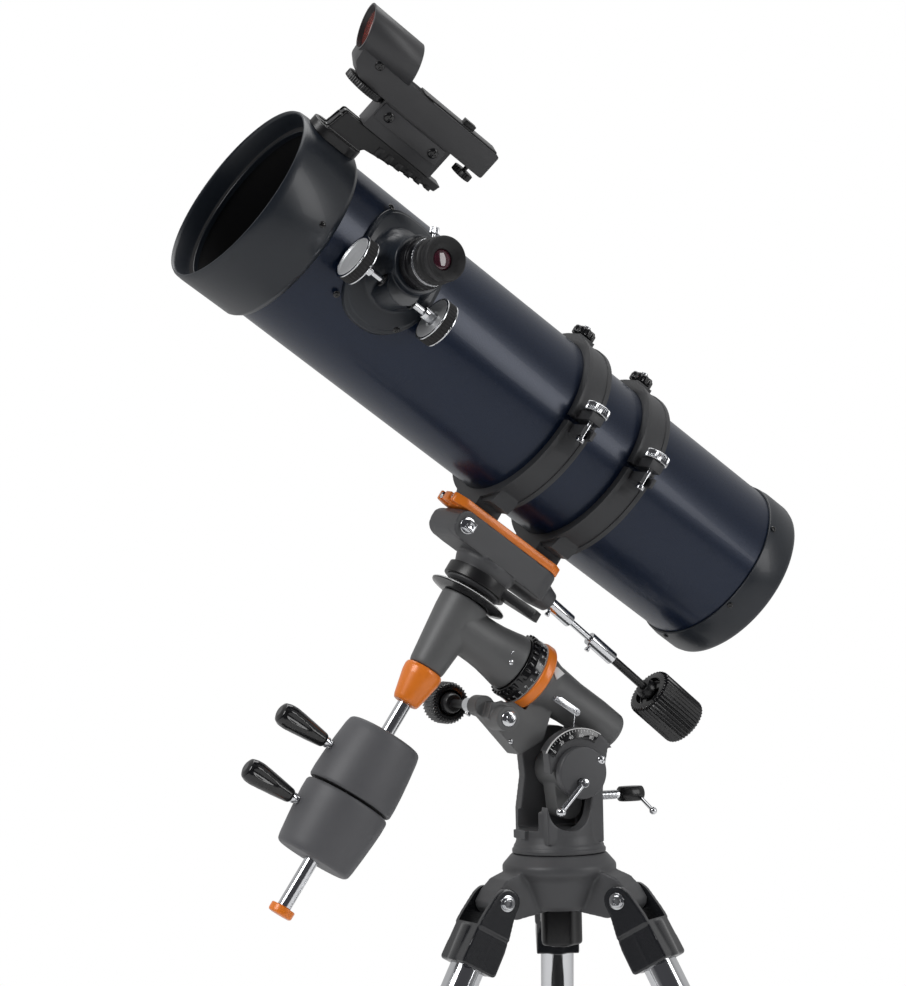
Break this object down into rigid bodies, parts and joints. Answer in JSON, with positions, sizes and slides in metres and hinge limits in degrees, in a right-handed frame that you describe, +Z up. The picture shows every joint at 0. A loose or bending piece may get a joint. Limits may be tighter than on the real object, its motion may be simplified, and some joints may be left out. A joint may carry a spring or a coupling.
{
  "type": "telescope on tripod",
  "caption": "Newtonian reflector telescope with a reflex finder, on a German equatorial mount with counterweights and a folding steel tripod with a tray.",
  "frame": {"origin": "centre of the bounding box on the floor under the feet", "axes": "+Z up; the tube points up towards -X and slightly -Y; -Y faces the side with the focuser"},
  "size_m": [0.8682, 0.7634, 1.5504],
  "materials": {
    "painted_casting": "satin",
    "glossy_casting": "gloss",
    "black_plastic": "satin",
    "black_aluminium": "satin",
    "chromed_steel": "polished",
    "black_painted_steel": "satin",
    "rubber": "matte",
    "orange_aluminium": "gloss",
    "painted_iron": "satin",
    "tube_paint": "gloss",
    "cell_plastic": "satin",
    "mirror_coating": "polished",
    "coated_glass": "polished"
  },
  "bodies": {
    "tripod_head": {"tripod_hub": "painted_casting"},
    "hub_knob": {"hub_lock_knob": "black_plastic"},
    "leg_1": {"leg_bracket_1": "glossy_casting", "leg_tube_1": "chromed_steel"},
    "leg_2": {"leg_bracket_2": "glossy_casting", "leg_tube_2": "chromed_steel"},
    "leg_3": {"leg_bracket_3": "glossy_casting", "leg_tube_3": "chromed_steel"},
    "lower_leg_1": {"lower_leg_1": "chromed_steel", "leg_foot_1": "rubber"},
    "lower_leg_2": {"lower_leg_2": "chromed_steel", "leg_foot_2": "rubber"},
    "lower_leg_3": {"lower_leg_3": "chromed_steel", "leg_foot_3": "rubber"},
    "leg_knob_1": {"leg_clamp_knob_1": "black_plastic"},
    "leg_knob_2": {"leg_clamp_knob_2": "black_plastic"},
    "leg_knob_3": {"leg_clamp_knob_3": "black_plastic"},
    "brace_arm_1": {"brace_arm_1": "black_painted_steel"},
    "brace_arm_2": {"brace_arm_2": "black_painted_steel"},
    "brace_arm_3": {"brace_arm_3": "black_painted_steel"},
    "tray": {"accessory_tray": "black_painted_steel"},
    "azimuth_base": {"azimuth_base": "painted_casting"},
    "latitude_lever": {"latitude_lock_lever": "chromed_steel"},
    "latitude_adjuster": {"latitude_adjuster": "chromed_steel"},
    "polar_housing": {"polar_housing": "painted_casting"},
    "ra_slow_motion": {"ra_slow_motion_knob": "black_plastic"},
    "ra_assembly": {"ra_body": "painted_casting", "ra_setting_circle": "black_plastic", "ra_clutch_ring": "orange_aluminium", "bar_cone_nut": "orange_aluminium", "counterweight_bar": "chromed_steel", "bar_end_stop": "orange_aluminium"},
    "upper_weight": {"upper_counterweight": "painted_iron"},
    "upper_weight_knob": {"upper_weight_knob": "black_plastic"},
    "lower_weight": {"lower_counterweight": "painted_iron"},
    "lower_weight_knob": {"lower_weight_knob": "black_plastic"},
    "tube_assembly": {"dec_setting_circle": "black_plastic", "declination_head": "painted_casting", "saddle_plate": "orange_aluminium", "front_ring_lower": "painted_casting", "rear_ring_lower": "painted_casting", "main_tube": "tube_paint", "front_cell": "cell_plastic", "rear_cell": "cell_plastic", "primary_mirror": "mirror_coating", "spider_and_secondary": "black_aluminium", "focuser_base": "cell_plastic", "finder_bracket": "black_plastic", "finder_body": "black_plastic", "finder_lens": "coated_glass"},
    "dec_lever": {"dec_lock_lever": "black_plastic"},
    "dec_slow_motion": {"dec_slow_motion_knob": "black_plastic"},
    "front_ring_cap": {"front_ring_upper": "painted_casting"},
    "front_ring_screw": {"front_ring_knob": "chromed_steel"},
    "rear_ring_cap": {"rear_ring_upper": "painted_casting"},
    "rear_ring_screw": {"rear_ring_knob": "chromed_steel"},
    "focus_shaft": {"focus_knobs": "chromed_steel"},
    "drawtube": {"drawtube": "black_aluminium", "eyepiece": "black_aluminium"},
    "finder_wheel": {"finder_height_wheel": "black_plastic"}
  },
  "joints": [
    {"name": "hub_knob_turn", "type": "hinge", "parent": "tripod_head", "child": "hub_knob", "pos_m": [0, -0.11712, 0.8], "axis": [0, 0, 1], "continuous": true},
    {"name": "leg_1_fold", "type": "hinge", "parent": "tripod_head", "child": "leg_1", "pos_m": [0, -0.04712, 0.759], "axis": [-1, 0, 0], "range_deg": [0, 22]},
    {"name": "leg_2_fold", "type": "hinge", "parent": "tripod_head", "child": "leg_2", "pos_m": [-0.06062, -0.15212, 0.759], "axis": [0.5, -0.866, 0], "range_deg": [0, 22]},
    {"name": "leg_3_fold", "type": "hinge", "parent": "tripod_head", "child": "leg_3", "pos_m": [0.06062, -0.15212, 0.759], "axis": [0.5, 0.866, 0], "range_deg": [0, 22]},
    {"name": "lower_leg_1_slide", "type": "slide", "parent": "leg_1", "child": "lower_leg_1", "axis": [0, 0.4756, -0.8796], "range_m": [0, 0.5]},
    {"name": "lower_leg_2_slide", "type": "slide", "parent": "leg_2", "child": "lower_leg_2", "axis": [-0.4119, -0.2378, -0.8796], "range_m": [0, 0.5]},
    {"name": "lower_leg_3_slide", "type": "slide", "parent": "leg_3", "child": "lower_leg_3", "axis": [0.4119, -0.2378, -0.8796], "range_m": [0, 0.5]},
    {"name": "leg_knob_1_turn", "type": "hinge", "parent": "leg_1", "child": "leg_knob_1", "pos_m": [0, 0.31911, 0.08167], "axis": [1, 0, 0], "continuous": true},
    {"name": "leg_knob_2_turn", "type": "hinge", "parent": "leg_2", "child": "leg_knob_2", "pos_m": [-0.37779, -0.33523, 0.08167], "axis": [-0.5, 0.866, 0], "continuous": true},
    {"name": "leg_knob_3_turn", "type": "hinge", "parent": "leg_3", "child": "leg_knob_3", "pos_m": [0.37779, -0.33523, 0.08167], "axis": [-0.5, -0.866, 0], "continuous": true},
    {"name": "brace_arm_1_fold", "type": "hinge", "parent": "leg_1", "child": "brace_arm_1", "pos_m": [0, 0.12026, 0.39477], "axis": [-1, 0, 0], "range_deg": [0, 27]},
    {"name": "brace_arm_2_fold", "type": "hinge", "parent": "leg_2", "child": "brace_arm_2", "pos_m": [-0.20558, -0.23581, 0.39477], "axis": [0.5, -0.866, 0], "range_deg": [0, 27]},
    {"name": "brace_arm_3_fold", "type": "hinge", "parent": "leg_3", "child": "brace_arm_3", "pos_m": [0.20558, -0.23581, 0.39477], "axis": [0.5, 0.866, 0], "range_deg": [0, 27]},
    {"name": "tray_rise", "type": "slide", "parent": "tripod_head", "child": "tray", "axis": [0, 0, 1], "range_m": [0, 0.072]},
    {"name": "azimuth_turn", "type": "hinge", "parent": "tripod_head", "child": "azimuth_base", "pos_m": [0, -0.11712, 0.8], "axis": [0, 0, 1], "continuous": true},
    {"name": "latitude_lever_turn", "type": "hinge", "parent": "azimuth_base", "child": "latitude_lever", "pos_m": [0.00318, -0.11566, 0.866], "axis": [-0.4171, 0.9089, 0], "range_deg": [-25, 35]},
    {"name": "latitude_adjuster_turn", "type": "hinge", "parent": "azimuth_base", "child": "latitude_adjuster", "pos_m": [0, -0.11712, 0.8495], "axis": [0.9089, 0.4171, 0], "continuous": true},
    {"name": "latitude_tilt", "type": "hinge", "parent": "azimuth_base", "child": "polar_housing", "pos_m": [0.00545, -0.11461, 0.877], "axis": [0.4171, -0.9089, 0], "range_deg": [-13, 16]},
    {"name": "ra_slow_motion_turn", "type": "hinge", "parent": "polar_housing", "child": "ra_slow_motion", "pos_m": [-0.06806, -0.14395, 0.93761], "axis": [-0.4171, 0.9089, 0], "continuous": true},
    {"name": "right_ascension", "type": "hinge", "parent": "polar_housing", "child": "ra_assembly", "pos_m": [-0.09431, -0.1604, 1.01585], "axis": [-0.7558, -0.3468, 0.5554], "range_deg": [-90, 80]},
    {"name": "upper_weight_slide", "type": "slide", "parent": "ra_assembly", "child": "upper_weight", "axis": [0.5195, 0.1987, 0.831], "range_m": [0, 0.033]},
    {"name": "lower_weight_slide", "type": "slide", "parent": "ra_assembly", "child": "lower_weight", "axis": [0.5195, 0.1987, 0.831], "range_m": [-0.046, 0]},
    {"name": "upper_weight_knob_turn", "type": "hinge", "parent": "upper_weight", "child": "upper_weight_knob", "pos_m": [-0.17536, -0.19139, 0.88621], "axis": [-0.7558, -0.3468, 0.5554], "continuous": true},
    {"name": "lower_weight_knob_turn", "type": "hinge", "parent": "lower_weight", "child": "lower_weight_knob", "pos_m": [-0.20549, -0.20291, 0.83801], "axis": [-0.7558, -0.3468, 0.5554], "continuous": true},
    {"name": "declination", "type": "hinge", "parent": "ra_assembly", "child": "tube_assembly", "pos_m": [-0.09431, -0.1604, 1.01585], "axis": [0.5195, 0.1987, 0.831], "continuous": true},
    {"name": "dec_lever_turn", "type": "hinge", "parent": "tube_assembly", "child": "dec_lever", "pos_m": [-0.09431, -0.1604, 1.01585], "axis": [0.5195, 0.1987, 0.831], "range_deg": [-25, 25]},
    {"name": "dec_slow_motion_turn", "type": "hinge", "parent": "tube_assembly", "child": "dec_slow_motion", "pos_m": [-0.05534, -0.14549, 1.07818], "axis": [0.6693, 0.4195, -0.6132], "continuous": true},
    {"name": "front_ring_open", "type": "hinge", "parent": "tube_assembly", "child": "front_ring_cap", "pos_m": [-0.06384, -0.05203, 1.20687], "axis": [-0.7123, -0.4365, 0.5497], "range_deg": [0, 100]},
    {"name": "front_ring_screw_turn", "type": "hinge", "parent": "front_ring_cap", "child": "front_ring_screw", "pos_m": [0.03054, -0.22753, 1.18983], "axis": [0.5195, 0.1987, 0.831], "continuous": true},
    {"name": "rear_ring_open", "type": "hinge", "parent": "tube_assembly", "child": "rear_ring_cap", "pos_m": [-0.009, -0.01842, 1.16455], "axis": [-0.7123, -0.4365, 0.5497], "range_deg": [0, 100]},
    {"name": "rear_ring_screw_turn", "type": "hinge", "parent": "rear_ring_cap", "child": "rear_ring_screw", "pos_m": [0.08539, -0.19392, 1.1475], "axis": [0.5195, 0.1987, 0.831], "continuous": true},
    {"name": "focus_shaft_turn", "type": "hinge", "parent": "tube_assembly", "child": "focus_shaft", "pos_m": [-0.13566, -0.33083, 1.30359], "axis": [0.7123, 0.4365, -0.5497], "range_deg": [0, 520]},
    {"name": "drawtube_slide", "type": "slide", "parent": "tube_assembly", "child": "drawtube", "axis": [0.5357, -0.8441, 0.024], "range_m": [0, 0.04]},
    {"name": "finder_wheel_turn", "type": "hinge", "parent": "tube_assembly", "child": "finder_wheel", "pos_m": [-0.17264, -0.23186, 1.31788], "axis": [0.6803, -0.2365, 0.6937], "continuous": true}
  ],
  "couplings": [
    {"joint": "leg_2_fold", "follows": "leg_1_fold", "ratio": 1},
    {"joint": "leg_3_fold", "follows": "leg_1_fold", "ratio": 1},
    {"joint": "brace_arm_1_fold", "follows": "leg_1_fold", "ratio": 1.2108},
    {"joint": "brace_arm_2_fold", "follows": "leg_1_fold", "ratio": 1.2108},
    {"joint": "brace_arm_3_fold", "follows": "leg_1_fold", "ratio": 1.2108},
    {"joint": "tray_rise", "follows": "leg_1_fold", "m_per_rad": 0.1837},
    {"joint": "drawtube_slide", "follows": "focus_shaft_turn", "m_per_rad": 0.0044}
  ]
}
